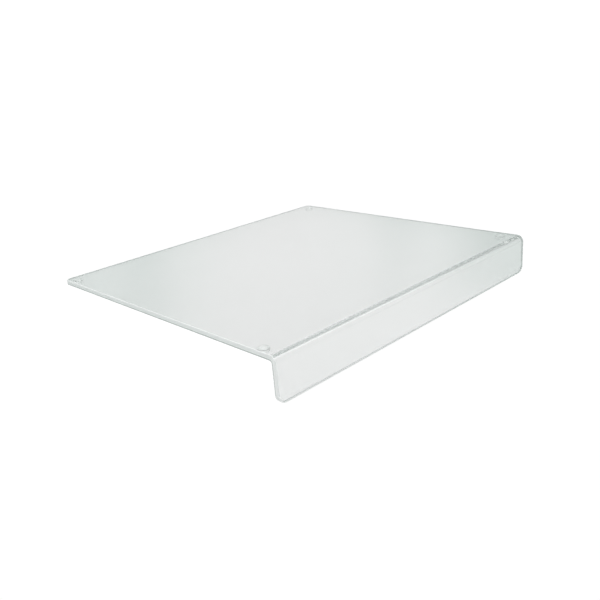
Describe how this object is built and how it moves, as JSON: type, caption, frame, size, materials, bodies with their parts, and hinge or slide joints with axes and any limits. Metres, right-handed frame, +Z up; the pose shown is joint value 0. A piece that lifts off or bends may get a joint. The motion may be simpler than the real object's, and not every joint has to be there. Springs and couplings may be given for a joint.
{
  "type": "worktop edge chopping board",
  "caption": "Clear chopping board: a bent acrylic sheet whose front lip hooks over a worktop's front edge, on clear stick-on bumper feet.",
  "frame": {"origin": "the point at mid-width where the worktop's top meets its front face: the feet rest on z = 0 and the lip's inner face lies on y = 0", "axes": "+X along the bend towards the right-hand end as the user faces the worktop, +Y from the lip to the back edge, +Z up"},
  "size_m": [0.45, 0.4, 0.05],
  "materials": {
    "acrylic": "clear cast acrylic, glossy on both faces, with polished edges",
    "urethane": "clear soft polyurethane, satin",
    "adhesive": "clear pressure-sensitive adhesive film"
  },
  "bodies": {
    "root": {"acrylic_board": "acrylic", "foot_front_left": "urethane", "foot_front_right": "urethane", "foot_back_left": "urethane", "foot_back_right": "urethane", "adhesive_front_left": "adhesive", "adhesive_front_right": "adhesive", "adhesive_back_left": "adhesive", "adhesive_back_right": "adhesive"}
  },
  "joints": []
}
